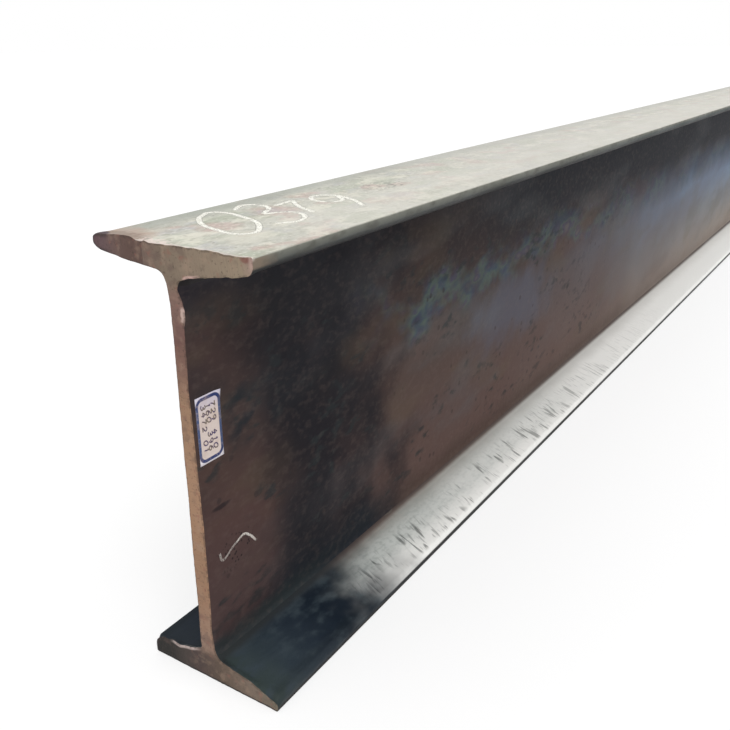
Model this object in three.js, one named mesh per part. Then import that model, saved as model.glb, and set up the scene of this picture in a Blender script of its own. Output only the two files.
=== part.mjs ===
import * as THREE from 'three';

// One length of hot-rolled steel beam with tapered flanges, sold as an I-section 360 mm deep.
// Units are millimetres, with +Z up. The beam lies along X on its bottom flange with the web
// upright, and the origin is the middle of the underside.

// Length between the two cut ends.
const beamLength = 6000;

// The rolled section, which lies in the YZ plane.
const sectionDepth = 360;
const flangeWidth = 138;
const webThickness = 12;
const flangeThickness = 15.8; // measured at the middle of the overhang
const flangeTaper = 1 / 6; // fall of a flange's inner face for each unit of width
const rootRadius = 12; // fillet between the web and a flange's inner face
const toeRadius = 6; // rounding where the inner face meets the toe
const edgeRadius = 1.5; // softening of the outer edges left by the rolls

// Each rounded stretch of the outline is an arc of twice this many chords.
const arcDivisions = 5;

// A quarter of the section's outline, from the outer face of a flange, round its toe and in
// along the tapered face to the web. It is drawn from the middle of the section.
function quarterOutline() {
  const halfDepth = sectionDepth / 2;
  const halfWidth = flangeWidth / 2;
  const halfWeb = webThickness / 2;
  const taperAngle = Math.atan(flangeTaper);
  const gaugeLine = (halfWidth + halfWeb) / 2;
  const thicknessAt = (y) => flangeThickness + flangeTaper * (gaugeLine - y);

  // The toe's arc touches the upright side of the toe and the tapered face. A toe too thin
  // for the full radius takes the largest one that leaves the outer edge whole.
  const toeRoom = thicknessAt(halfWidth) - edgeRadius;
  const toe = Math.min(toeRadius, toeRoom / (1 / Math.cos(taperAngle) - flangeTaper));
  const toeY = halfWidth - toe;
  const toeZ = halfDepth - thicknessAt(toeY) + toe / Math.cos(taperAngle);

  // The root fillet touches the tapered face and the side of the web.
  const rootY = halfWeb + rootRadius;
  const rootZ = halfDepth - thicknessAt(rootY) - rootRadius / Math.cos(taperAngle);

  const outline = new THREE.Path();
  outline.absarc(halfWidth - edgeRadius, halfDepth - edgeRadius, edgeRadius, Math.PI / 2, 0, true);
  outline.absarc(toeY, toeZ, toe, 0, taperAngle - Math.PI / 2, true);
  outline.absarc(rootY, rootZ, rootRadius, Math.PI / 2 + taperAngle, Math.PI, false);
  return outline.getPoints(arcDivisions);
}

// The whole outline is the quarter mirrored about both middle lines of the section.
function sectionShape() {
  const quarter = quarterOutline();
  const mirrored = (side, end) => quarter.map((point) => new THREE.Vector2(side * point.x, end * point.y));
  return new THREE.Shape([
    ...mirrored(1, 1),
    ...mirrored(1, -1).reverse(),
    ...mirrored(-1, -1),
    ...mirrored(-1, 1).reverse(),
  ]);
}

// Bare steel under mill scale and thin rust.
const rolledSteel = new THREE.MeshStandardMaterial({ color: 0x857b70, roughness: 0.72, metalness: 0.35 });

// The bar leaves the rolls as this one section drawn out along its length.
const bar = new THREE.ExtrudeGeometry(sectionShape(), { depth: beamLength, bevelEnabled: false });
const steelBeam = new THREE.Mesh(bar, rolledSteel);
steelBeam.name = 'steel_beam';
steelBeam.rotation.set(Math.PI / 2, Math.PI / 2, 0);
steelBeam.position.set(-beamLength / 2, 0, sectionDepth / 2);

const beam = new THREE.Group();
beam.name = 'rolled_steel_beam';
beam.add(steelBeam);

export default beam;
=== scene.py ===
import math

import bmesh
import bpy
from mathutils import Matrix, Vector, bvhtree, kdtree, noise


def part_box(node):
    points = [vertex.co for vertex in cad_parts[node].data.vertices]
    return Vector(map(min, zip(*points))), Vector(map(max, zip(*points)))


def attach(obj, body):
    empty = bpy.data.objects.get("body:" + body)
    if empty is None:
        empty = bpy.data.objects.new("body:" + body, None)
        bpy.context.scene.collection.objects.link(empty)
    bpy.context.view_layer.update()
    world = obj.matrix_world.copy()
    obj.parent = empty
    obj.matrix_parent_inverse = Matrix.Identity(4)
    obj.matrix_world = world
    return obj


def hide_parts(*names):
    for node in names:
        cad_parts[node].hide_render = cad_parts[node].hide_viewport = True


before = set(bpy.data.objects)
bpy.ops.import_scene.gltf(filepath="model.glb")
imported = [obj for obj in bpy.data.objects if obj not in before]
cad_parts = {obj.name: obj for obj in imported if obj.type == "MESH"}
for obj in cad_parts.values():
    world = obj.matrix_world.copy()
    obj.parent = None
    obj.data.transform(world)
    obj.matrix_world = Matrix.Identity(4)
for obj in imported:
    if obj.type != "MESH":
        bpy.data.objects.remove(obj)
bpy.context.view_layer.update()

# ----------------------------------------------------------------------
# Steel beam. One bar of structural steel, rolled red hot in one piece and left bare, so that it
# wears the mill scale it cooled with and the rust that came later. A hand torch cut both ends,
# which left drag lines across the metal, a melted tip and a burr along the upper edge.

BEAM = "steel_beam"
HALF_LENGTH, HALF_WIDTH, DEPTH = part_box(BEAM)[1]
HALF_WEB = 0.006
FLANGE_ZONE = 0.033          # height of a flange with its root fillet
WEB_TOP, WEB_FOOT = DEPTH - 0.027, 0.025     # where the web's finish meets the flanges'

MELTED_EDGE = 0.0005         # radius that the torch left round each cut
CUT_CELL = 0.001             # the torch-cut faces are meshed this finely
END_ZONE = 0.030
END_CELL = 0.0025
WEB_CELL = 0.012
FLANGE_CELL = 0.009
FIRST_RING = 0.0009          # length of the first ring of faces behind the cut
RING_GROWTH = 1.07
LONGEST_RING = 0.045
SHARP = math.radians(46)     # edges that turn further than this stay sharp
TOUCH = 1e-6                 # anything closer than this touches


def slice_mesh(mesh, along, places, chosen=None):
    """Cuts the mesh, or only the faces that pass a test, by planes square to one axis."""
    normal = Vector((0, 0, 0))
    normal[along] = 1
    for place in places:
        faces = [face for face in mesh.faces if chosen is None or chosen(face)]
        edges = {edge for face in faces for edge in face.edges}
        corners = {corner for face in faces for corner in face.verts}
        bmesh.ops.bisect_plane(mesh, geom=[*corners, *edges, *faces], dist=1e-7,
                               plane_co=normal * place, plane_no=normal)


def steps(low, high, size):
    """Evenly spaced places between two ends, about one size apart."""
    count = max(1, round((high - low) / size))
    return [low + (high - low) * n / count for n in range(1, count)]


def behind_cut(place):
    return HALF_LENGTH - abs(place.x)


def on_cut_face(face):
    return behind_cut(face.calc_center_median()) < TOUCH


def near_cut(face):
    return TOUCH < behind_cut(face.calc_center_median()) < END_ZONE


rolled = bmesh.new()
rolled.from_mesh(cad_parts[BEAM].data)
bmesh.ops.remove_doubles(rolled, verts=rolled.verts, dist=TOUCH)
bmesh.ops.dissolve_limit(rolled, angle_limit=math.radians(0.5), verts=rolled.verts, edges=rolled.edges)

# Only the half behind one cut is meshed: it is mirrored about the middle of the bar.
half = rolled.verts[:] + rolled.edges[:] + rolled.faces[:]
bmesh.ops.bisect_plane(rolled, geom=half, dist=1e-7, plane_co=(0, 0, 0), plane_no=(1, 0, 0),
                       clear_outer=True)
cut_edges = {edge for face in rolled.faces if on_cut_face(face) for edge in face.edges}
bmesh.ops.bevel(rolled, geom=list(cut_edges), offset=MELTED_EDGE, segments=2, profile=0.5, affect="EDGES",
                clamp_overlap=True, material=-1)
slice_mesh(rolled, 2, steps(FLANGE_ZONE, DEPTH - FLANGE_ZONE, WEB_CELL))
slice_mesh(rolled, 1, steps(-HALF_WIDTH, HALF_WIDTH, FLANGE_CELL))
slice_mesh(rolled, 0, [END_ZONE - HALF_LENGTH])
for size, chosen in ((END_CELL, near_cut), (CUT_CELL, on_cut_face)):
    slice_mesh(rolled, 1, steps(-HALF_WIDTH, HALF_WIDTH, size), chosen)
    slice_mesh(rolled, 2, steps(0, DEPTH, size), chosen)

ring, ring_place, ring_places = FIRST_RING, MELTED_EDGE + FIRST_RING - HALF_LENGTH, []
while ring_place < -LONGEST_RING:
    ring_places.append(ring_place)
    ring = min(ring * RING_GROWTH, LONGEST_RING)
    ring_place += ring
slice_mesh(rolled, 0, ring_places)
half = rolled.verts[:] + rolled.edges[:] + rolled.faces[:]
bmesh.ops.mirror(rolled, geom=half, axis="X", merge_dist=TOUCH)
bmesh.ops.recalc_face_normals(rolled, faces=rolled.faces)

for edge in rolled.edges:
    edge.smooth = len(edge.link_faces) == 2 and edge.calc_face_angle() < SHARP

# The finishes, in the order of the bar's slots.
FLANGE_SCALE, WEB_SCALE, TORCH_CUT = range(3)
for face in rolled.faces:
    face.smooth = True
    middle = face.calc_center_median()
    if behind_cut(middle) < MELTED_EDGE * 0.9:
        face.material_index = TORCH_CUT
    elif WEB_FOOT < middle.z < WEB_TOP:
        face.material_index = WEB_SCALE
    else:
        face.material_index = FLANGE_SCALE

# How far each corner of a cut face lies from its outline, which the relief and the finish follow.
outline = [corner for corner in rolled.verts if behind_cut(corner.co) < TOUCH
           and any(not on_cut_face(face) for face in corner.link_faces)]
outline_tree = kdtree.KDTree(len(outline))
for number, corner in enumerate(outline):
    outline_tree.insert(corner.co, number)
outline_tree.balance()
RIM = rolled.verts.layers.float.new("rim")
for corner in rolled.verts:
    if behind_cut(corner.co) < TOUCH:
        corner[RIM] = outline_tree.find(corner.co)[2]


def ease(value, low, high):
    """Runs smoothly from 0 at the low value to 1 at the high one, whichever is larger."""
    share = min(max((value - low) / (high - low), 0), 1)
    return share * share * (3 - 2 * share)


def lumps(place, size, seed):
    """Smooth random relief from about -1 to 1, whose lumps are of the given size."""
    return noise.noise(place / size + Vector((seed * 3.7, seed * 5.1, seed * 7.9)))


RIDGE_SPACING = 0.0052       # between the coarse drag lines
RIDGE_DEPTH = 0.00010
JET_LAG = 0.0035             # how far a drag line trails behind by the far side of the metal
FLANGE_AT_WEB = 0.020        # thickness of a flange beside the web
FLAME_REACH = 0.014          # how far behind the cut its relief fades out


def drag_lines(place):
    """Ridges on a cut face: the torch ran down the web and across each flange."""
    lag_through_web = JET_LAG * ((place.y + HALF_WEB) / (2 * HALF_WEB)) ** 2
    nearest_face = min(place.z, DEPTH - place.z)
    lag_through_flange = JET_LAG * (nearest_face / FLANGE_AT_WEB) ** 2
    web_share = ease(abs(place.y), 0.013, 0.007) * ease(nearest_face, 0.016, 0.026)
    travel = web_share * (place.z + lag_through_web) + (1 - web_share) * (place.y + lag_through_flange)
    wander = 2.4 * lumps(Vector((travel, place.x, 0)), 0.016, 4)
    return math.sin(2 * math.pi * travel / RIDGE_SPACING + wander) * (0.6 + 0.4 * lumps(place, 0.02, 5))


RESTART_Y = 0.0262           # the torch went out here and was lit again
RESTART_STEP = 0.0009
UNEVENNESS, PITTING = 0.00030, 0.00010
ROUNDED_RIM = 0.00045        # how far the rim of a cut face is melted back


def cut_depth(place, rim):
    """How far the cut face lies inside the end plane of a true square cut."""
    depth = RIDGE_DEPTH * drag_lines(place)
    depth += UNEVENNESS * lumps(place, 0.045, 1) + PITTING * lumps(place, 0.006, 2)
    depth += ROUNDED_RIM * ease(rim, 0.0022, 0) * (0.7 + 0.5 * lumps(place, 0.005, 3))
    on_upper_flange = ease(place.z, DEPTH - 0.035, DEPTH - 0.028)
    restart = ease(place.y, RESTART_Y - 0.0012, RESTART_Y + 0.0008) * on_upper_flange
    return depth + restart * (RESTART_STEP + UNEVENNESS * lumps(place, 0.004, 6))


TIP_REACH = 0.012            # how far along the bar the melted lump reaches
TIP_OUT, TIP_UP, TIP_BACK = 0.0052, 0.0002, 0.0016
TIP_ROUNDINGS = 5


def melted_tip(place, rest):
    """The lump that the flame left hanging on one corner of the upper flange."""
    share = ease(behind_cut(rest), TIP_REACH, 0.002) * ease(rest.z, DEPTH - 0.030, DEPTH - 0.020)
    bulge = 1 + 0.12 * lumps(rest, 0.006, 7)
    below_top = DEPTH - rest.z
    nose = (0.45 + 0.55 * ease(below_top, 0, 0.0026)) * (0.76 + 0.24 * ease(below_top, 0.0120, 0.0036))
    place.y += ease(rest.y, 0.050, HALF_WIDTH) * share * bulge * nose * TIP_OUT
    raised = ease(rest.y, 0.054, 0.059) * share
    place.z += raised * bulge * TIP_UP * ease(rest.z, DEPTH - 0.010, DEPTH)
    place.x += math.copysign(raised * TIP_BACK * (0.6 + 0.5 * lumps(rest, 0.005, 8)), rest.x)


GOUGE_Z, LIP_Z = DEPTH - 0.0262, DEPTH - 0.0462
BLOWN_DEPTH, DISHED = 0.0042, 0.0012      # how far metal is gone from the web's side and the cut face
LIP_OUT, LIP_PROUD = 0.0027, 0.0006       # how far the lip stands out of the same two faces


def blown_corner(place, rest):
    """The flame blew metal off the web and fillet at one side and left a bright lip below that."""
    near_end = ease(behind_cut(rest), 0.009, 0.0005) * ease(rest.y, 0.001, -HALF_WEB)
    gouge = near_end * ease(GOUGE_Z - rest.z, 0.0105, 0.0030) * ease(rest.z - GOUGE_Z, 0.0058, 0.0020)
    lip = near_end * ease(abs(rest.z - LIP_Z), 0.011, 0.002)
    place.y += gouge * BLOWN_DEPTH - lip * LIP_OUT
    place.x += gouge * DISHED - lip * LIP_PROUD


TOE_BURNT = 0.0060           # how far the lower flange's corner is burnt back


def burnt_toe(place, rest):
    """One corner of the lower flange, burnt back by the flame."""
    share = ease(behind_cut(rest), 0.011, 0.001) * ease(rest.z, 0.024, 0.016)
    place.y -= share * ease(rest.y, 0.052, HALF_WIDTH) * TOE_BURNT


MM = 0.001


def between(value, stops):
    """The height at a value, on a smooth line through stops in millimetres, as value: height."""
    places = sorted(stops)
    for low, high in zip(places, places[1:]):
        if value < high * MM:
            return MM * (stops[low] + (stops[high] - stops[low]) * ease(value, low * MM, high * MM))
    return MM * stops[places[-1]]


# Across the upper flange, in millimetres: how far slag hangs below it, or where it is negative how
# far the corner is burnt away, and how far the cut's upper edge stands up or is burnt down.
HANGING = {-69: 0.6, -63: 1.2, -56: 1.4, -45: 0.9, -32: 0.8, -18: 0.8, -10: 0.3, 0: 0, 9: -2, 20: -1.3,
           31: -0.2, 45: 0.6, 56: 0.4, 69: -0.4}
UPPER_EDGE = {-70: 0.4, -59: -0.6, -48: -0.8, -40: 0.2, -10: 0, 5: -0.5, 18: -1, 24.5: 0.2, 27.5: -1.5,
              31: -0.7, 37: 0.9, 44: 1.5, 52: 0.9, 58: 0.4, 69: -0.3}

# Across the lower flange: how far slag stands on it, or the corner is burnt down.
STANDING = {-69: -2, -62: -2.4, -56: -1.2, -50: 0.6, -42: 2.3, -6: 2.5, 0: 2, 6: 5, 13: 5.6, 22: 4.5,
            34: 3.3, 44: 5.2, 52: 5.5, 60: 4.5, 69: 3}

# Up the web: how far the cut's two long edges stand out, or where it is negative are burnt in.
FAR_SIDE = {22: 0, 31: 2.6, 42: 2.5, 52: 2.1, 70: 1.5, 90: 1.3, 120: 1.1, 146: 0.7, 180: 0.1, 235: -0.3,
            276: -0.9, 300: -1.4, 318: -1.4, 335: 0}
NEAR_SIDE = {30: 0, 52: -1.2, 66: -0.4, 85: 0.1, 124: 0.5, 146: 0.8, 160: 0.3, 200: 0, 235: -0.6,
             258: -1.4, 280: -0.6, 300: 0}


def uneven_web(place, rest):
    """The long edges of the cut, down each side of the web, which the flame left uneven."""
    if 0.022 < rest.z < DEPTH - 0.025:
        out = between(rest.z, FAR_SIDE if rest.y > 0 else NEAR_SIDE)
        out *= ease(behind_cut(rest), 0.0034, 0.0004)
        place.y += out * max(-1, min(rest.y / HALF_WEB, 1)) * ease(abs(rest.y), 0.0140, 0.0075)


SLAG_REACH = 0.008           # how far along the bar slag reaches
BURR = 0.0005


def slag(place, rest, normal):
    """Slag on the lower flange and under the upper one, whose upper edge is partly burnt away."""
    behind = behind_cut(rest)
    if behind > SLAG_REACH:
        return
    by_the_cut = ease(behind, SLAG_REACH, 0.0010)
    across = Vector((0, rest.y, 0))
    if rest.z < 0.042:
        beads = 1 + 0.25 * lumps(across, 0.0060, 12)
        reach = ease(rest.z, 0.0010, 0.0100) * ease(rest.z, 0.042, 0.024)
        place.z += between(rest.y, STANDING) * beads * by_the_cut * reach
    if rest.z < DEPTH - 0.036:
        return
    if rest.z < DEPTH - 0.008 and (normal.z < -0.1 or behind < TOUCH):
        beads = 1 + 0.5 * lumps(across, 0.0045, 9)
        underside = ease(rest.z, DEPTH - 0.008, DEPTH - 0.011)
        place.z -= between(rest.y, HANGING) * beads * by_the_cut * underside
    elif normal.z > 0.3 or rest.z > DEPTH - 0.002:
        burr = BURR * lumps(across, 0.006, 10)
        place.z += (between(rest.y, UPPER_EDGE) + burr) * ease(behind, 0.0050, 0.0008)


WAVINESS = 0.00016           # left by the rolls all along the faces
WAVE, DRAWN_OUT = 0.035, 9   # a wave's size across the bar, and how many times that along it

for corner in rolled.verts:
    rest = corner.co.copy()
    normal = corner.normal.copy()
    place = corner.co
    behind = behind_cut(rest)
    if behind < FLAME_REACH:
        inward = cut_depth(rest, corner[RIM]) * (1 - behind / FLAME_REACH)
        place.x -= math.copysign(inward, rest.x)
    if rest.x < 0:
        melted_tip(place, rest)
        blown_corner(place, rest)
        burnt_toe(place, rest)
    uneven_web(place, rest)
    slag(place, rest, normal)
    # The face that the bar lies on stays flat.
    if rest.z > TOUCH:
        wave = lumps(Vector((rest.x / DRAWN_OUT, rest.y, rest.z)), WAVE, 11)
        place += normal * WAVINESS * wave * ease(behind, 0, 0.05)
    place.z = max(place.z, 0)

tip = [corner for corner in rolled.verts if corner.co.x < 0 and behind_cut(corner.co) < TIP_REACH
       and corner.co.y > 0.057 and corner.co.z > DEPTH - 0.020]
for _ in range(TIP_ROUNDINGS):
    bmesh.ops.smooth_vert(rolled, verts=tip, factor=0.5, use_axis_x=True, use_axis_y=True, use_axis_z=True)

beam_mesh = bpy.data.meshes.new("rolled_steel_beam")
rolled.to_mesh(beam_mesh)
beam_surface = bvhtree.BVHTree.FromBMesh(rolled)
rolled.free()


def new_object(name, data):
    """An object at the origin, put in the scene."""
    made = bpy.data.objects.new(name, data)
    bpy.context.scene.collection.objects.link(made)
    return made


beam = new_object("rolled_steel_beam", beam_mesh)
even_shading = beam.modifiers.new("even_shading", "WEIGHTED_NORMAL")
even_shading.keep_sharp = True


def colour(shade):
    """A colour as a shader wants it: one from another node, or one given as seen, from 0 to 255."""
    if isinstance(shade, bpy.types.NodeSocket):
        return shade
    return (*(((value / 255 + 0.055) / 1.055) ** 2.4 for value in shade), 1)


def feed(tree, socket, value):
    """Links another node's output to a socket, or sets the socket to a plain value."""
    if isinstance(value, bpy.types.NodeSocket):
        tree.links.new(value, socket)
    else:
        socket.default_value = value


def add_node(tree, kind, feeds=None, **settings):
    """A new node, its sockets fed by name or by number."""
    node = tree.nodes.new("ShaderNode" + kind)
    for setting, value in settings.items():
        setattr(node, setting, value)
    for socket, value in (feeds or {}).items():
        feed(tree, node.inputs[socket], value)
    return node


ALL = 9                      # a spot's reach along an axis where it takes in the whole bar


class Finish:
    """A material in the making. Each method adds nodes and gives back what comes out of them.

    Patterns are shares from 0 to 1, and each layer of colour covers a share of those under it.
    """

    def __init__(self, name, **sockets):
        self.material = bpy.data.materials.new(name)
        self.material.use_nodes = True
        self.tree = self.material.node_tree
        self.feed_shader(**sockets)
        self.place = self.node("TexCoord").outputs["Object"]
        self.x, self.y, self.z = self.node("SeparateXYZ", {0: self.place}).outputs
        self.tint = None

    def feed_shader(self, **sockets):
        shader = self.tree.nodes["Principled BSDF"]
        for socket, value in sockets.items():
            feed(self.tree, shader.inputs[socket.replace("_", " ")], value)

    def node(self, kind, feeds=None, **settings):
        return add_node(self.tree, kind, feeds, **settings)

    def math(self, operation, *values):
        return self.node("Math", dict(enumerate(values)), operation=operation).outputs[0]

    def vector(self, operation, *values):
        return self.node("VectorMath", dict(enumerate(values)), operation=operation).outputs[0]

    def length(self, vector):
        return self.node("VectorMath", {0: vector}, operation="LENGTH").outputs["Value"]

    def behind_cut(self):
        return self.math("SUBTRACT", HALF_LENGTH, self.math("ABSOLUTE", self.x))

    def both(self, share, *others):
        """Near 1 only where every share is, and never more than the least of them."""
        for other in others:
            share = self.math("MULTIPLY", share, other)
        return share

    def either(self, first, second):
        return self.math("MAXIMUM", first, second)

    def from_half(self, share):
        """Runs from a half to 1 as the share runs from 0 to 1."""
        return self.math("MULTIPLY_ADD", share, 0.5, 0.5)

    def band(self, value, low, high):
        """Runs smoothly from 0 at the low value to 1 at the high one, whichever is larger."""
        feeds = {"Value": value, "From Min": low, "From Max": high}
        return self.node("MapRange", feeds, interpolation_type="SMOOTHSTEP").outputs[0]

    def within(self, value, low, full_from, full_to, high):
        """1 between the two middle values, and 0 below the low one and above the high one."""
        return self.both(self.band(value, low, full_from), self.band(value, high, full_to))

    def scaled(self, place, sizes, seed):
        """A place counted in sizes along each axis, and shifted by a seed."""
        feeds = {"Vector": place, "Scale": [1 / size for size in sizes],
                 "Location": (seed * 1.7, seed * 2.3, seed * 3.1)}
        return self.node("Mapping", feeds).outputs[0]

    def grain(self, size, stretch=1, turn=(0, 0, 0), detail=3.0, seed=0.0):
        """Cloudy pattern from 0 to 1, of grains stretched along the bar, or along all three axes."""
        stretch = stretch if isinstance(stretch, tuple) else (stretch, 1, 1)
        turned = self.node("Mapping", {"Vector": self.place, "Rotation": turn}).outputs[0]
        scaled = self.scaled(turned, [size * share for share in stretch], seed)
        return self.node("TexNoise", {"Vector": scaled, "Scale": 1.0, "Detail": detail}).outputs[0]

    def blotches(self, low, high, *grain, **more_grain):
        """Blotches where a cloudy pattern passes from the low value to the high one."""
        return self.band(self.grain(*grain, **more_grain), low, high)

    def pits(self, size, seed=0.0):
        """Distance from scattered points, from 0 at each point to about 1 between them."""
        scaled = self.scaled(self.place, [size] * 3, seed)
        return self.node("TexVoronoi", {"Vector": scaled, "Scale": 1.0}).outputs["Distance"]

    def shaken(self, value, amount, size):
        """The value, made irregular by up to about the amount, in waves of the given size."""
        wave = self.math("SUBTRACT", self.grain(size), 0.5)
        return self.math("MULTIPLY_ADD", wave, amount * 3, value)

    def ragged(self, value, low, high, amount, size):
        """A band whose edge is shaken."""
        return self.band(self.shaken(value, amount, size), low, high)

    def spot(self, centre, reach, edge, core, amount=0.0, size=0.01):
        """1 round a point and 0 away from it. The point is given from the labelled cut along the bar,
        and the edge and the core in shares of the reach."""
        away = self.vector("SUBTRACT", self.place, Vector(centre) - Vector((HALF_LENGTH, 0, 0)))
        distance = self.length(self.vector("DIVIDE", away, reach))
        if amount:
            distance = self.shaken(distance, amount, size)
        return self.band(distance, edge, core)

    def blend(self, share, first, second):
        """The first colour, with a share from 0 to 1 of the second laid over it."""
        feeds = {0: share, 6: colour(first), 7: colour(second)}
        return self.node("Mix", feeds, data_type="RGBA").outputs[2]

    def lay(self, second, *shares):
        """Lays a colour over those so far, where every share is near 1."""
        self.tint = self.blend(self.both(*shares), self.tint, second)

    def ramp(self, value, colours, low=0.0, high=1.0):
        """Colours met one after another as the value runs from the low one to the high one."""
        shifted = self.node("MapRange", {"Value": value, "From Min": low, "From Max": high}).outputs[0]
        ramp = self.node("ValToRGB", {0: shifted})
        stops = ramp.color_ramp.elements
        stops.remove(stops[1])
        for number, (place, shade) in enumerate(sorted(colours.items())):
            position = (place - low) / (high - low)
            stop = stops.new(position) if number else stops[0]
            stop.position = position
            stop.color = colour(shade)
        return ramp.outputs[0]

    def relief(self, height, depth, under=None):
        """Raises and sinks the surface by up to a depth in metres, over an earlier relief if given."""
        feeds = {"Height": height, "Strength": 1.0, "Distance": depth}
        if under:
            feeds["Normal"] = under
        return self.node("Bump", feeds).outputs[0]

    def finish(self, **sockets):
        """The material, its colour made of the layers and its other sockets as given."""
        self.feed_shader(Base_Color=self.tint, **sockets)
        return self.material


def torch_cut():
    """Steel that the flame cut and burnt, gone over since with a thin tan rust."""
    cut = Finish("torch_cut", Specular_IOR_Level=0.25)
    rim = cut.node("Attribute", attribute_name="rim").outputs["Fac"]
    across = cut.shaken(cut.y, 0.003, 0.007)
    upper = cut.ramp(across, {
        -0.069: (156, 134, 122), -0.060: (150, 134, 114), -0.020: (138, 122, 105),
        0.008: (126, 111, 96), 0.020: (116, 98, 88), 0.0265: (114, 96, 86),
        0.0295: (103, 82, 76), 0.050: (112, 90, 84), 0.060: (104, 84, 84),
        0.074: (90, 68, 76),
    }, -0.08, 0.08)
    lower = cut.ramp(across, {
        -0.069: (112, 104, 90), -0.045: (126, 110, 97), -0.010: (96, 81, 70),
        0.012: (77, 64, 61), 0.028: (70, 62, 58), 0.042: (46, 43, 41),
        0.069: (34, 35, 34),
    }, -0.08, 0.08)
    web = cut.ramp(cut.shaken(cut.z, 0.01, 0.02), {
        0.030: (146, 119, 104), 0.080: (156, 122, 98), 0.120: (157, 123, 97),
        0.180: (167, 132, 106), 0.240: (158, 126, 101), 0.275: (131, 101, 88),
        0.295: (112, 82, 76), 0.315: (126, 98, 90), 0.345: (134, 113, 99),
    }, 0.0, DEPTH)
    relit = cut.both(cut.band(cut.y, RESTART_Y - 0.0008, RESTART_Y + 0.0004),
                     cut.ragged(cut.y, 0.062, 0.040, 0.004, 0.006), 0.65)
    upper = cut.blend(relit, upper, (90, 70, 63))
    cut.tint = cut.blend(cut.band(cut.z, 0.020, 0.034), lower, web)
    cut.lay(upper, cut.band(cut.z, DEPTH - 0.034, DEPTH - 0.022))

    # Fine drag lines, and blotches of bright metal, burnt scale, red rust and dark grains.
    flange_lines = cut.grain(0.0011, (6, 1, 12), (math.radians(8), 0, 0), seed=1)
    web_lines = cut.grain(0.0011, (6, 12, 1), seed=2)
    in_web = cut.within(cut.z, 0.022, 0.034, DEPTH - 0.034, DEPTH - 0.022)
    lines = cut.node("Mix", {0: in_web, 2: flange_lines, 3: web_lines}).outputs[0]
    cut.lay((88, 74, 64), cut.band(lines, 0.48, 0.32), 0.16)
    crusted = cut.both(cut.ragged(cut.y, 0.006, 0.030, 0.004, 0.008), cut.band(cut.z, 0.030, 0.020))
    sound = cut.math("SUBTRACT", 1.0, crusted)
    cut.lay((172, 146, 126), cut.blotches(0.50, 0.72, 0.009, seed=3), sound, 0.30)
    cut.lay((98, 80, 74), cut.blotches(0.52, 0.70, 0.011, seed=8), 0.40)
    cut.lay((142, 96, 84), cut.blotches(0.58, 0.72, 0.006, seed=4), sound, 0.45)
    cut.lay((70, 60, 54), cut.blotches(0.58, 0.72, 0.0022, seed=5), 0.5)

    # Bright places: the blown corner's lip and the edge of its gouge, and a painted highlight along the rim
    # of the lower flange's far side.
    lip = cut.spot((HALF_LENGTH, -HALF_WEB - 0.0008, LIP_Z), (ALL, 0.0032, 0.0088), 1.0, 0.4, 0.4, 0.003)
    cut.lay((206, 180, 170), lip, 0.8)
    gouge_edge = cut.both(cut.band(rim, 0.0020, 0.0006), cut.within(cut.y, -0.027, -0.017, -0.011, -0.007),
                          cut.within(cut.z, DEPTH - 0.030, DEPTH - 0.024, DEPTH - 0.013, DEPTH - 0.010))
    cut.lay((196, 164, 154), gouge_edge)
    shelf_highlight = cut.both(cut.band(rim, 0.0024, 0.0006), cut.within(cut.y, 0.007, 0.018, 0.038, 0.046),
                     cut.within(cut.z, 0.006, 0.010, 0.026, 0.040))
    cut.lay((204, 186, 180), shelf_highlight, 0.75)
    red_corner = cut.spot((HALF_LENGTH, -0.0635, DEPTH - 0.0015), (ALL, 0.0055, 0.0034), 1.0, 0.5)
    cut.lay((122, 72, 66), red_corner, 0.7)
    side = cut.both(cut.band(cut.y, -0.0655, -0.0680), cut.band(cut.z, DEPTH - 0.012, DEPTH - 0.004))
    cut.lay((190, 160, 150), side, 0.6)

    # The outline is burnt nearly black in places, most of all round the melted lump. Along the bottom it is
    # painted nearly black, partly burnt and partly painted contact shadow.
    cut.lay((38, 36, 33), cut.ragged(cut.z, 0.0030, 0.0012, 0.0008, 0.008), 0.85)
    burnt = cut.both(cut.band(rim, 0.0011, 0.0002), cut.blotches(0.42, 0.55, 0.005, seed=6))
    cut.lay((66, 56, 50), burnt, 0.45)
    around_lump = cut.both(cut.band(rim, 0.0030, 0.0004), cut.band(cut.y, 0.052, 0.066))
    cut.lay((60, 50, 50), around_lump, 0.7)

    height = cut.relief(lines, 0.00010)
    height = cut.relief(cut.grain(0.0018, seed=7), 0.0003, height)
    return cut.finish(Roughness=0.78, Normal=height)


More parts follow.
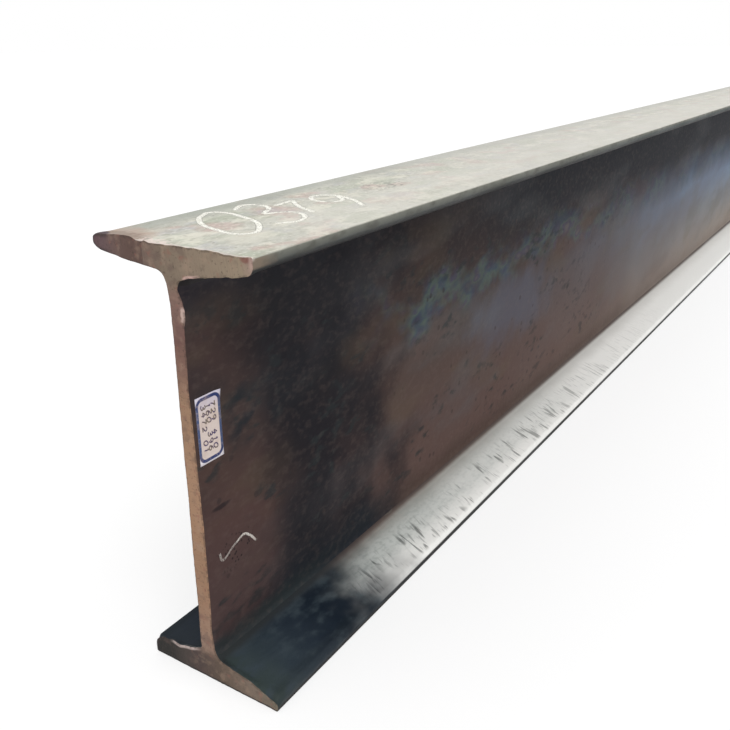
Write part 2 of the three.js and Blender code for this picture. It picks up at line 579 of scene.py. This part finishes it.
def flange_scale():
    """Mill scale on the flanges: pale and worn where it faces up, partly a painted sheen there, and dark
    below and along the toes with painted shade.
    """
    coat = Finish("flange_scale", Specular_IOR_Level=0.10)
    behind = coat.behind_cut()
    aside = coat.math("ABSOLUTE", coat.y)
    # Up the bar: the near black at the lower toe, the dark under the upper flange and along the lower part
    # of its toe are painted shade; the pale flange faces are partly painted sheen.
    coat.tint = coat.ramp(coat.shaken(coat.z, 0.0003, 0.012), {
        0.0: (46, 45, 44), 0.0056: (26, 26, 26), 0.0072: (200, 204, 199),
        0.0110: (214, 217, 212), 0.0178: (196, 200, 196), 0.0196: (150, 147, 140),
        0.0214: (112, 101, 95), 0.0234: (82, 70, 66), WEB_FOOT + 0.002: (58, 46, 43),
        WEB_TOP - 0.002: (40, 36, 37),
        0.3400: (36, 34, 35), 0.3512: (40, 41, 41), 0.3527: (46, 49, 50),
        0.3542: (92, 94, 90), 0.3587: (124, 125, 116), 0.3594: (192, 190, 178),
        0.3598: (199, 198, 187),
    }, 0.0, DEPTH)
    on_top = coat.band(coat.z, DEPTH - 0.0008, DEPTH - 0.0003)
    on_foot = coat.within(coat.z, 0.0058, 0.0074, 0.0186, 0.0226)
    on_toe = coat.within(coat.z, 0.3512, 0.3538, 0.3587, 0.3594)

    # The lower flange is pale, with dew-grey bloom and slanting scratches in groups. It is painted paler
    # further along as a sheen and by its toes as light, and painted darker along its root as shade.
    painted_sheen_and_light = coat.either(coat.ragged(behind, 0.05, 0.90, 0.10, 0.15),
                         coat.ragged(aside, 0.030, 0.066, 0.003, 0.02))
    root_shade = coat.both(coat.band(behind, 0.20, 0.34), coat.from_half(coat.band(behind, 1.5, 0.7)))
    coat.lay((164, 176, 174), on_foot, coat.blotches(0.45, 0.65, 0.045, 3, seed=1), 0.35)
    coat.lay((132, 142, 137), on_foot, coat.blotches(0.40, 0.75, 0.0036, 1.6, seed=2), 0.42)
    coat.lay((253, 252, 248), on_foot, painted_sheen_and_light, 0.95)
    coat.lay((120, 120, 110), on_foot, coat.ragged(aside, 0.038, 0.012, 0.004, 0.03), root_shade, 0.34)
    strokes = coat.blotches(0.60, 0.68, 0.0044, (1, 7, 7), (0, 0, math.radians(20)), 0.0, seed=4)
    feathers = coat.blotches(0.56, 0.70, 0.0026, (1, 7, 7), (0, 0, math.radians(24)), 1.0, seed=15)
    groups = coat.blotches(0.38, 0.50, 0.035, (1, 2, 1), seed=3)
    scratches = coat.both(coat.either(strokes, coat.both(feathers, 0.6)), groups,
                          coat.within(aside, 0.024, 0.040, 0.062, 0.068),
                          coat.within(behind, 0.10, 0.20, 0.3, 1.3))
    coat.lay((72, 76, 74), on_foot, scratches, 0.68)

    # Close behind the cut the lower flange is painted dark blue-black as shade: at its root, across it,
    # darker on its far side and by its toe.
    shade_near_cut_end = coat.ragged(behind, 0.24, 0.12, 0.05, 0.06)
    root = coat.blend(coat.band(behind, 0.01, 0.06), (44, 48, 49), (38, 42, 45))
    coat.lay(root, coat.within(coat.z, 0.015, 0.019, 0.04, 0.05), shade_near_cut_end)
    blue_black_shade = coat.ramp(coat.shaken(behind, 0.01, 0.02), {
        0.0: (54, 64, 62), 0.020: (56, 66, 69), 0.045: (48, 58, 66), 0.075: (38, 47, 57),
        0.105: (26, 35, 45),
    }, 0.0, 0.2)
    cloudy = coat.blotches(0.42, 0.75, 0.012, 1.5, seed=16)
    blue_black_shade = coat.blend(cloudy, blue_black_shade, (58, 68, 75))
    far_side = coat.band(coat.y, 0, 0.01)
    blue_black_shade = coat.blend(coat.both(far_side, 0.75), blue_black_shade, (42, 46, 54))
    below_fillet = coat.within(coat.z, 0.0030, 0.0050, 0.0185, 0.0230)
    coat.lay(blue_black_shade, below_fillet, shade_near_cut_end)
    by_toe = coat.ragged(aside, 0.054, 0.062, 0.002, 0.02)
    coat.lay((34, 38, 39), below_fillet, by_toe, shade_near_cut_end, 0.25)

    # The upper face is worn to grey-green and rubbed pink with rust in patches, under lilac and
    # cream ones and fine grains of both kinds. Its far edge is greyer, its near half paler.
    coat.lay((172, 179, 158), on_top, coat.blotches(0.48, 0.60, 0.038, 1.3, seed=6), 0.62)
    pink = coat.blotches(0.54, 0.66, 0.034, 1.2, seed=5)
    for x, y, reach in ((0.060, 0.009, 0.020), (0.128, 0.014, 0.024)):
        rubbed = coat.spot((x, y, DEPTH), (reach, reach, ALL), 1.1, 0.5, 0.35, 0.012)
        pink = coat.either(pink, rubbed)
    coat.lay((194, 166, 158), on_top, pink, 0.66)
    for size, length, seed, low, high, cover, shade in (
            (0.0280, 1.3, 12, 0.54, 0.66, 0.40, (184, 184, 192)),
            (0.0200, 1.5, 17, 0.50, 0.66, 0.60, (234, 230, 214)),
            (0.0050, 1.3, 13, 0.46, 0.70, 0.55, (162, 160, 144)),
            (0.0030, 1.3, 20, 0.52, 0.68, 0.45, (236, 234, 222))):
        coat.lay(shade, on_top, coat.blotches(low, high, size, length, seed=seed), cover)
    coat.lay((164, 167, 158), on_top, coat.ragged(coat.y, 0.036, 0.058, 0.006, 0.03), 0.75)
    coat.lay((78, 77, 70), on_toe, coat.blotches(0.42, 0.70, 0.006, 2.5, seed=14), 0.6)
    # Further along, the lower part of the upper flange's toe is painted darker as shade.
    shade_low_on_toe = coat.within(coat.z, 0.3522, 0.3532, 0.3550, 0.3580)
    coat.lay((54, 66, 66), shade_low_on_toe, coat.band(behind, 0.45, 1.0), 0.65)
    streaks = coat.blotches(0.56, 0.70, 0.0026, 30, seed=8)
    coat.lay((150, 150, 134), on_top, streaks, 0.18)
    coat.lay((108, 102, 92), on_top, coat.blotches(0.66, 0.74, 0.004, 2.0, seed=9), 0.60)
    near_half = coat.ragged(coat.y, 0.020, -0.030, 0.006, 0.05)
    coat.lay((219, 216, 206), on_top, near_half, coat.band(behind, 0.02, 0.14), 0.5)
    coat.lay((206, 203, 196), on_top, coat.band(behind, 0.14, 0.60), 0.50)
    bare = coat.spot((0.044, -0.027, DEPTH), (0.028, 0.020, ALL), 1.1, 0.5, 0.3, 0.01)
    coat.lay((218, 215, 201), on_top, bare, 0.6)
    pitted = coat.spot((0.276, 0.006, DEPTH), (0.034, 0.020, ALL), 1.1, 0.5, 0.3, 0.01)
    coat.lay((104, 100, 94), pitted, coat.blotches(0.50, 0.60, 0.0036, 2, seed=18), 0.55)

    # The flame's heat browned the flange close behind the cut and left its edge pale and flaky.
    heated = coat.both(coat.ragged(behind, 0.042, 0.008, 0.012, 0.012),
                       coat.ragged(coat.y, 0.018, 0.040, 0.012, 0.02))
    coat.lay((184, 160, 144), on_top, heated, 0.85)
    browned = coat.spot((0, 0.052, DEPTH), (0.0190, 0.034, ALL), 1.0, 0.6, 0.3, 0.006)
    coat.lay((148, 130, 117), on_top, browned, 0.85)
    coat.lay((134, 118, 102), on_toe, coat.ragged(behind, 0.030, 0.001, 0.008, 0.006), 0.85)
    pale = coat.both(coat.ragged(behind, 0.0042, 0.0022, 0.0016, 0.006),
                     coat.from_half(coat.band(coat.y, -0.010, 0.004)))
    flakes = coat.both(coat.blotches(0.45, 0.52, 0.005, seed=19),
                       coat.ragged(behind, 0.0110, 0.0070, 0.004, 0.006),
                       coat.band(coat.y, -0.004, 0.006))
    upper_edge = coat.band(coat.z, DEPTH - 0.0032, DEPTH - 0.0014)
    short_of_tip = coat.band(coat.y, 0.038, 0.026)
    coat.lay((232, 215, 207), upper_edge, coat.either(pale, flakes), short_of_tip, 0.75)
    tip = coat.spot((0, HALF_WIDTH + 0.004, DEPTH - 0.005), (0.011, 0.017, 0.016), 1.0, 0.8)
    coat.lay((78, 62, 66), tip)

    wear = coat.grain(0.02, 5, seed=10)
    gloss = coat.node("MapRange", {"Value": wear, "From Min": 0.3, "From Max": 0.7,
                                   "To Min": 0.38, "To Max": 0.58}).outputs[0]
    gloss = coat.either(gloss, coat.both(below_fillet, far_side))
    height = coat.relief(coat.grain(0.0035, 3, seed=9), 0.0005)
    height = coat.relief(scratches, -0.0006, height)
    return coat.finish(Roughness=gloss, Normal=height)


def web_scale():
    """Mill scale on the web: brown with thin rust and blue-grey in patches, with a painted blue-grey sheen
    further along the bar and painted shade under the upper flange.
    """
    coat = Finish("web_scale", Specular_IOR_Level=0.08)
    behind = coat.behind_cut()
    level = coat.shaken(coat.z, 0.012, 0.05)
    # Each ramp runs up the web and is painted darker towards the upper flange as shade. The one further
    # along is a painted blue-grey sheen low and mid-way up.
    near_end = coat.ramp(level, {
        WEB_FOOT: (64, 52, 53), 0.060: (77, 61, 60), 0.140: (80, 60, 57),
        0.200: (60, 50, 49), 0.270: (44, 40, 44), WEB_TOP: (46, 42, 47),
    }, 0.0, DEPTH)
    further_on = coat.ramp(level, {
        WEB_FOOT: (84, 68, 62), 0.050: (94, 74, 69), 0.110: (88, 69, 64),
        0.190: (79, 66, 61), 0.260: (58, 47, 46), WEB_TOP: (43, 36, 37),
    }, 0.0, DEPTH)
    sheen_and_shade_far_along = coat.ramp(level, {
        WEB_FOOT: (140, 128, 120), 0.050: (150, 140, 132), 0.120: (134, 137, 141),
        0.190: (122, 138, 160), 0.235: (66, 80, 98), 0.280: (34, 42, 54),
        WEB_TOP: (26, 32, 42),
    }, 0.0, DEPTH)
    coat.tint = near_end
    coat.lay(further_on, coat.ragged(behind, 0.14, 0.30, 0.06, 0.10))
    coat.lay(sheen_and_shade_far_along, coat.ragged(behind, 0.55, 1.90, 0.20, 0.25))

    # Patches of thin scale, all drawn out on a slight slant: blue-grey, rusty and ochre.
    slant = (0, math.radians(6), 0)
    near_by = coat.ragged(behind, 1.3, 0.5, 0.3, 0.2)
    mostly_near = coat.from_half(near_by)
    middle = coat.within(level, 0.028, 0.060, 0.290, 0.330)
    patches = coat.both(coat.blotches(0.48, 0.64, 0.080, 3.2, slant, seed=1), mostly_near)
    coat.lay((70, 82, 88), middle, coat.band(behind, 0.05, 0.12), patches, 0.26)
    rusty = coat.blotches(0.46, 0.66, 0.090, 2.6, slant, seed=2)
    coat.lay((90, 66, 58), middle, rusty, mostly_near, 0.40)
    ochre = coat.blotches(0.52, 0.68, 0.060, 2.6, slant, seed=8)
    coat.lay((96, 86, 66), middle, ochre, 0.22)

    # Where the bar cooled last a streak of blue scale runs along it, above the middle of the web.
    off_streak = coat.math("ABSOLUTE", coat.math("SUBTRACT", coat.shaken(coat.z, 0.030, 0.11), 0.236))
    streak = coat.both(coat.ragged(off_streak, 0.036, 0.008, 0.016, 0.022),
                       coat.blotches(0.36, 0.62, 0.042, 2.2, slant, seed=9),
                       coat.band(behind, 0.16, 0.30))
    blues = coat.ramp(coat.grain(0.020, 1.8, slant, 2.5, seed=10), {
        0.30: (56, 60, 86), 0.42: (62, 82, 96), 0.52: (82, 102, 96), 0.62: (72, 74, 98),
        0.72: (98, 97, 100),
    })
    coat.lay(blues, streak, mostly_near, 0.70)
    violet = coat.spot((0.58, -HALF_WEB, 0.172), (0.150, ALL, 0.052), 1.2, 0.3, 0.4, 0.04)
    coat.lay((88, 92, 106), violet, 0.6)
    # Further along, the web under the upper flange is painted dark as shade.
    shade_under_flange = coat.ragged(coat.z, 0.235, 0.285, 0.010, 0.06)
    coat.lay((31, 34, 41), shade_under_flange, coat.ragged(behind, 0.30, 0.65, 0.10, 0.10), 0.9)

    # A dark bluish band crosses the web a hand's breadth from the cut, wider by the lower flange: dark
    # scale and the painted shadow of a neighbouring beam. Near the cut the web's foot and fillet are
    # painted dark as shade too.
    upper_part = coat.both(coat.ragged(coat.z, 0.20, 0.31, 0.02, 0.05), 0.030)
    neighbour_shadow_from = coat.math("ADD", coat.shaken(behind, 0.03, 0.06), upper_part)
    neighbour_shadow = coat.both(coat.band(neighbour_shadow_from, 0.050, 0.130), coat.ragged(behind, 0.34, 0.16, 0.12, 0.07))
    coat.lay((21, 21, 28), neighbour_shadow, 0.94)
    foot_shade = coat.ragged(coat.z, 0.075, 0.032, 0.006, 0.04)
    coat.lay((36, 41, 47), foot_shade, coat.within(behind, 0.050, 0.100, 0.22, 0.34), 0.85)
    fillet = coat.ragged(coat.z, 0.047, 0.030, 0.004, 0.012)
    coat.lay((47, 54, 56), fillet, coat.band(behind, 0.20, 0.08), 0.85)

    # Smudges beside the ticket, a scratch, dots round the tick and specks all over.
    beside_ticket = ((0.066, -HALF_WEB, 0.222), (0.042, ALL, 0.034))
    smudged = coat.either(coat.blotches(0.48, 0.58, 0.06, 2.2, slant, seed=4),
                          coat.spot(*beside_ticket, 1.1, 0.6, 0.3, 0.02))
    smudges = coat.blotches(0.52, 0.66, 0.009, 2.2, slant, seed=3)
    coat.lay((38, 44, 46), middle, smudges, smudged, near_by, 0.7)
    clouds = coat.blotches(0.44, 0.60, 0.020, 1.6, slant, seed=11)
    coat.lay((28, 34, 40), middle, clouds, coat.spot(*beside_ticket, 1.0, 0.4, 0.3, 0.02), 0.8)
    scratch = coat.spot((0.0225, -HALF_WEB, 0.1560), (0.0125, 0.003, 0.0027), 1.1, 0.5, 0.25, 0.004)
    coat.lay((40, 32, 34), scratch, 0.85)
    by_tick = coat.spot((0.036, -HALF_WEB, 0.109), (0.026, ALL, 0.020), 1.0, 0.6, 0.3, 0.01)
    coat.lay((30, 26, 28), coat.band(coat.pits(0.0036, seed=12), 0.38, 0.22), by_tick, 0.8)
    specks = coat.both(coat.band(coat.pits(0.024, seed=5), 0.15, 0.09), near_by)
    coat.lay((54, 45, 45), middle, specks, 0.6)
    coat.lay((124, 108, 100), coat.blotches(0.45, 0.75, 0.005, 1.6, seed=6), 0.10)

    height = coat.relief(coat.grain(0.005, 1.5, seed=7), 0.0004)
    gloss = coat.node("MapRange", {"Value": patches, "To Min": 0.64, "To Max": 0.50}).outputs[0]
    return coat.finish(Roughness=gloss, Normal=height)


for finish in (flange_scale, web_scale, torch_cut):
    beam_mesh.materials.append(finish())
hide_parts(BEAM)
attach(beam, "root")

# ----------------------------------------------------------------------
# Paper label. A small printed paper ticket pasted on the web by the cut end: white, with a blue
# border, filled in by hand with figures in violet ink. It has dried flat, with one corner lifting.

LABEL_WIDTH, LABEL_HEIGHT = 0.0254, 0.0534
LABEL_CENTRE = Vector((-HALF_LENGTH + 0.0168, -HALF_WEB, 0.2245))
PAPER = 0.00012
GLUE = 0.00006               # the paper's back lies this far off the steel
LIFTED_CORNER = 0.0014
LIFTED_FROM = 0.68           # where the lifting starts, as a share of the way to the corner
COCKLE = 0.00010             # waviness of the dried paper

# Ink, like chalk further on, is a drawn line: a round stroke pressed flat against the steel. Each
# figure is one or more strokes through points given in hundredths of its width and height.
FIGURES = {
    "0": [[(62, 100), (22, 84), (2, 38), (28, 0), (74, 10), (98, 58), (82, 94), (56, 101)]],
    "1": [[(28, 78), (58, 100)], [(58, 100), (52, 0)]],
    "2": [[(5, 76), (45, 102), (90, 74), (45, 28), (2, 0)], [(2, 0), (98, 3)]],
    "3": [[(6, 94), (60, 102), (84, 78), (34, 52)], [(34, 52), (92, 32), (55, -2), (0, 10)]],
    "4": [[(60, 100), (2, 34)], [(2, 34), (98, 38)], [(72, 74), (64, -4)]],
    "6": [[(80, 100), (16, 55), (12, 10), (58, -4), (95, 26), (58, 52), (12, 30)]],
    "7": [[(0, 94), (96, 100)], [(96, 100), (52, 50), (36, 0)]],
    "9": [[(90, 80), (50, 104), (5, 78), (42, 48), (90, 80)], [(90, 80), (82, 36), (55, 0)]],
}


def write_figure(figure, corner, width, height, lean):
    """The lines of one handwritten figure whose lower left corner lies at the given place."""
    slope = lean * height
    return [[(corner[0] + (width * across + slope * up) / 100, corner[1] + height * up / 100)
             for across, up in line] for line in FIGURES[figure]]


def drawn_lines(name, lines, thickness, height):
    """A mesh of round strokes along flat lines, squeezed to a height either side of them."""
    path = bpy.data.curves.new(name, "CURVE")
    path.dimensions = "3D"
    path.bevel_depth = thickness / 2
    path.bevel_resolution = 1
    path.use_fill_caps = True
    for line in lines:
        spline = path.splines.new("BEZIER")
        spline.bezier_points.add(len(line) - 1)
        spline.resolution_u = 7
        for point, (across, up) in zip(spline.bezier_points, line):
            point.co = (across, up, 0)
            point.handle_left_type = point.handle_right_type = "AUTO"
    stroke = new_object(name, path)
    seen_by = bpy.context.evaluated_depsgraph_get()
    drawn = bmesh.new()
    drawn.from_mesh(bpy.data.meshes.new_from_object(stroke.evaluated_get(seen_by)))
    bpy.data.objects.remove(stroke)
    bmesh.ops.scale(drawn, vec=(1, 1, height / (thickness / 2)), verts=drawn.verts)
    return drawn


WELL_CLEAR = 0.5             # from this far off the steel is looked for


def laid_on_steel(drawn, outward, lift):
    """Moves each corner straight back to the bar's surface and keeps its own height above that."""
    for corner in drawn.verts:
        proud = corner.co.dot(outward)
        base = corner.co - outward * proud
        found = beam_surface.ray_cast(base + outward * WELL_CLEAR, -outward)[0]
        corner.co = found + outward * (proud + lift)


def new_piece(name, drawn, material):
    """Makes a piece of what was drawn, gives it its finish and fixes it to the bar."""
    mesh = bpy.data.meshes.new(name)
    for face in drawn.faces:
        face.smooth = True
    drawn.to_mesh(mesh)
    drawn.free()
    mesh.materials.append(material)
    piece = new_object(name, mesh)
    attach(piece, "root")


def stand_up(drawn, along, height):
    """Turns what was drawn flat to stand facing the web's near side, at a place along and up."""
    upright = Matrix(((1, 0, 0, along), (0, 0, -1, 0), (0, 1, 0, height), (0, 0, 0, 1)))
    bmesh.ops.transform(drawn, matrix=upright, verts=drawn.verts)


WEB_SIDE = Vector((0, -1, 0))

ticket = bmesh.new()
bmesh.ops.create_grid(ticket, x_segments=10, y_segments=22, size=0.5)
bmesh.ops.scale(ticket, vec=(LABEL_WIDTH, LABEL_HEIGHT, 1), verts=ticket.verts)
for corner in ticket.verts:
    past = corner.co.x / LABEL_WIDTH + corner.co.y / LABEL_HEIGHT - LIFTED_FROM
    toward_corner = max(0, past) / (1 - LIFTED_FROM)
    corner.co.z = LIFTED_CORNER * toward_corner ** 2 + COCKLE * abs(lumps(corner.co, 0.007, 21))
bmesh.ops.solidify(ticket, geom=ticket.faces[:], thickness=-PAPER)
stand_up(ticket, LABEL_CENTRE.x, LABEL_CENTRE.z)
laid_on_steel(ticket, WEB_SIDE, GLUE)

BORDER_LINE, BORDER_ROUND = 0.0026, 0.0052
BORDER_INSET = Vector((0.0012, 0, 0.0025))       # from the paper's edge to the middle of the line


def printed_paper():
    """White paper with a blue border of round corners, yellowed and dirtied a little."""
    paper = Finish("printed_paper", Specular_IOR_Level=0.3, Roughness=0.7)
    from_centre = paper.vector("ABSOLUTE", paper.vector("SUBTRACT", paper.place, LABEL_CENTRE))
    straight = Vector((LABEL_WIDTH / 2 - BORDER_ROUND, ALL, LABEL_HEIGHT / 2 - BORDER_ROUND)) - BORDER_INSET
    past = paper.vector("MAXIMUM", paper.vector("SUBTRACT", from_centre, straight), (0, 0, 0))
    reach = paper.length(past)
    off_line = paper.math("ABSOLUTE", paper.math("SUBTRACT", reach, BORDER_ROUND))
    off_middle = paper.math("ABSOLUTE", paper.math("SUBTRACT", paper.z, LABEL_CENTRE.z))
    faded = paper.band(off_middle, LABEL_HEIGHT * 0.40, LABEL_HEIGHT * 0.30)
    blue = paper.blend(faded, (40, 54, 104), (68, 84, 124))
    paper.tint = (236, 230, 236)
    paper.lay((222, 206, 198), paper.band(reach, BORDER_ROUND, BORDER_ROUND - 0.0004))
    paper.lay((206, 200, 220), paper.band(paper.z, 0.236, 0.246), 0.6)
    paper.lay(blue, paper.band(off_line, BORDER_LINE * 0.62, BORDER_LINE * 0.38))
    paper.lay((206, 188, 184), paper.blotches(0.5, 0.7, 0.002, seed=1), 0.25)
    paper.lay((190, 164, 148), paper.blotches(0.52, 0.68, 0.012, seed=2), 0.35)
    return paper.finish(Normal=paper.relief(paper.grain(0.0015, seed=3), 0.00008))


new_piece("paper_label", ticket, printed_paper())

# The figures run down the ticket, in three rows given by how far to the side each one lies.
ROWS = {0.0028: "729 410", -0.0022: "160 396", -0.0074: "3472 01"}
FIRST_FIGURE, NEXT_FIGURE = -0.0198, 0.0056
FIGURE_WIDTH, FIGURE_HEIGHT, FIGURE_LEAN = 0.0038, 0.0042, 0.1
INK_LINE, INK = 0.0009, 0.00005      # the line's width, and the ink's height
INK_LIFT = 0.00012                   # keeps the ink clear of the cockled paper

ink_lines = []
for row, figures in ROWS.items():
    for place, figure in enumerate(figures):
        if figure != " ":
            corner = (FIRST_FIGURE + NEXT_FIGURE * place, row)
            ink_lines += write_figure(figure, corner, FIGURE_WIDTH, FIGURE_HEIGHT, FIGURE_LEAN)
ink = drawn_lines("label_figures", ink_lines, INK_LINE, INK)
bmesh.ops.rotate(ink, cent=(0, 0, 0), matrix=Matrix.Rotation(math.radians(-90), 3, "Z"), verts=ink.verts)
stand_up(ink, LABEL_CENTRE.x, LABEL_CENTRE.z)
laid_on_steel(ink, WEB_SIDE, GLUE + PAPER + INK_LIFT)
violet_ink = Finish("violet_ink", Specular_IOR_Level=0.3, Roughness=0.6)
violet_ink.tint = violet_ink.ramp(violet_ink.grain(0.006, seed=1), {
    0.35: (72, 58, 108), 0.48: (98, 82, 98), 0.60: (128, 116, 96), 0.70: (84, 70, 110),
})
new_piece("label_figures", ink, violet_ink.finish())

# ----------------------------------------------------------------------
# Chalk marks. The yard wrote a number across the upper flange and ticked the web with a stick of
# white chalk, which caught on the scale and broke into grains along each stroke.

CHALK = 0.00008              # how far a stroke stands off the steel
NUMBER_LINE, TICK_LINE = 0.0052, 0.0023
NUMBER_LEAN = 0.36
TICK_LIGHT = 0.0375          # how far behind the cut the stick was pressed harder
UPWARD = Vector((0, 0, 1))


def white_chalk(name, thickest, tint, light_up_to=0.0):
    """Chalk grains, fewer where the stick skipped, and up to a place where it was held lightly."""
    chalk = Finish(name, Specular_IOR_Level=0.2, Roughness=0.9)
    chalk.tint = tint
    chalk.lay((255, 254, 246), chalk.grain(0.006, seed=3))
    skips = chalk.blotches(0.30, 0.46, 0.014, seed=2)
    thickness = chalk.math("MULTIPLY_ADD", skips, thickest - 0.5, 0.5)
    pressed_from = light_up_to - HALF_LENGTH
    pressed = chalk.from_half(chalk.band(chalk.x, pressed_from - 0.004, pressed_from))
    return chalk.finish(Alpha=chalk.both(chalk.blotches(0.34, 0.46, 0.0014, seed=1), thickness, pressed))


# Figure, how far behind the cut and how far to the side it starts, its width and its height.
NUMBER = (("0", 0.041, -0.022, 0.042, 0.076), ("3", 0.088, -0.024, 0.038, 0.072),
          ("7", 0.131, -0.014, 0.026, 0.044), ("9", 0.163, -0.032, 0.036, 0.056))
number_lines = []
for figure, start, aside, width, height in NUMBER:
    number_lines += write_figure(figure, (start - HALF_LENGTH, aside), width, height, NUMBER_LEAN)
number = drawn_lines("chalk_number", number_lines, NUMBER_LINE, CHALK)
laid_on_steel(number, UPWARD, 0)
new_piece("chalk_number", number, white_chalk("white_chalk", 1.1, (244, 242, 230)))

# Points behind the cut and above the floor, in two strokes.
TICK = [[(0.0160, 0.1160), (0.0185, 0.1085), (0.0235, 0.1095), (0.0310, 0.1140), (0.0390, 0.1170)],
        [(0.0375, 0.1165), (0.0450, 0.1185), (0.0520, 0.1140), (0.0595, 0.1050)]]
tick = drawn_lines("chalk_tick", TICK, TICK_LINE, CHALK)
stand_up(tick, -HALF_LENGTH, 0)
laid_on_steel(tick, WEB_SIDE, 0)
new_piece("chalk_tick", tick, white_chalk("thin_chalk", 0.8, (190, 168, 160), TICK_LIGHT))

# ----------------------------------------------------------------------
# Studio. A white floor and a white room, lit softly from above, so that colours come out about as
# they are written. What the camera and the gloss see of the room is plain white.

SKY_LEVEL, HORIZON_LEVEL = 1.0, 0.38
SUN_STRENGTH, SUN_SPREAD = 1.0, math.radians(40)
SUN_FROM = Vector((-0.42, -0.36, 0.84))
FLOOR_HALF = 60
FLOOR_SEEN_GLOW, FLOOR_SEEN_WHITE = 0.60, 0.44       # as the camera sees it, with shadows on it
FLOOR_WHITE = 0.9                                    # as it lights the bar


def seen_directly(tree):
    """1 for what the camera, a gloss or a glass sees, and 0 for light on a dull surface."""
    rays = add_node(tree, "LightPath").outputs
    seen = rays["Is Camera Ray"]
    for ray in ("Is Glossy Ray", "Is Transmission Ray"):
        seen = add_node(tree, "Math", {0: seen, 1: rays[ray]}, operation="MAXIMUM").outputs[0]
    return seen


world = bpy.data.worlds.new("studio")
bpy.context.scene.world = world
world.use_nodes = True
room = world.node_tree
direction = add_node(room, "TexCoord").outputs["Generated"]
upward_share = add_node(room, "SeparateXYZ", {0: direction}).outputs["Z"]
levels = {"Value": upward_share, "To Min": HORIZON_LEVEL, "To Max": SKY_LEVEL}
sky = add_node(room, "MapRange", levels).outputs[0]
level = add_node(room, "Mix", {"Factor": seen_directly(room), "A": sky, "B": 1}).outputs["Result"]
feed(room, room.nodes["Background"].inputs["Color"], (1, 1, 1, 1))
feed(room, room.nodes["Background"].inputs["Strength"], level)

lamp_data = bpy.data.lights.new("soft_lamp", "SUN")
lamp_data.energy = SUN_STRENGTH
lamp_data.angle = SUN_SPREAD
lamp = new_object("soft_lamp", lamp_data)
lamp.matrix_world = SUN_FROM.to_track_quat("Z", "Y").to_matrix().to_4x4()

floor_mesh = bpy.data.meshes.new("floor")
plane = bmesh.new()
bmesh.ops.create_grid(plane, x_segments=1, y_segments=1, size=FLOOR_HALF)
plane.to_mesh(floor_mesh)
plane.free()
floor = new_object("floor", floor_mesh)

white_floor = bpy.data.materials.new("white_floor")
white_floor.use_nodes = True
tree = white_floor.node_tree
tree.nodes.remove(tree.nodes["Principled BSDF"])
plain = add_node(tree, "BsdfDiffuse", {"Color": (FLOOR_WHITE, FLOOR_WHITE, FLOOR_WHITE, 1)})
shaded = add_node(tree, "BsdfDiffuse", {"Color": (FLOOR_SEEN_WHITE, FLOOR_SEEN_WHITE, FLOOR_SEEN_WHITE, 1)})
glow = add_node(tree, "Emission", {"Strength": FLOOR_SEEN_GLOW})
seen = add_node(tree, "AddShader", {0: shaded.outputs[0], 1: glow.outputs[0]})
chosen = add_node(tree, "MixShader", {0: seen_directly(tree), 1: plain.outputs[0], 2: seen.outputs[0]})
feed(tree, tree.nodes["Material Output"].inputs["Surface"], chosen.outputs[0])
floor_mesh.materials.append(white_floor)

# The camera stands close to the cut end, above the upper flange.
IMAGE = 730                  # pixels across and down
LENS_PIXELS = 817.0
CENTRE_X, CENTRE_Y = 343.4, 415.7
SENSOR = 36
EYE = Vector((-0.3729, -0.3863, 0.4772))         # from the middle of the labelled end, on the floor
heading, pitch, roll = math.radians(34.032), math.radians(24.514), math.radians(-0.654)
ahead = Vector((math.cos(heading) * math.cos(pitch), math.sin(heading) * math.cos(pitch), -math.sin(pitch)))
right = Vector((math.sin(heading), -math.cos(heading), 0))
up = right.cross(ahead)
right, up = math.cos(roll) * right + math.sin(roll) * up, math.cos(roll) * up - math.sin(roll) * right
camera_data = bpy.data.cameras.new("camera")
camera_data.sensor_width = SENSOR
camera_data.lens = LENS_PIXELS / IMAGE * SENSOR
camera_data.shift_x = (IMAGE / 2 - CENTRE_X) / IMAGE
camera_data.shift_y = (CENTRE_Y - IMAGE / 2) / IMAGE
camera = new_object("camera", camera_data)
stand = Matrix.Translation(EYE + Vector((-HALF_LENGTH, 0, 0)))
camera.matrix_world = stand @ Matrix((right, up, -ahead)).transposed().to_4x4()
bpy.context.scene.camera = camera
bpy.context.scene.view_settings.view_transform = "Standard"
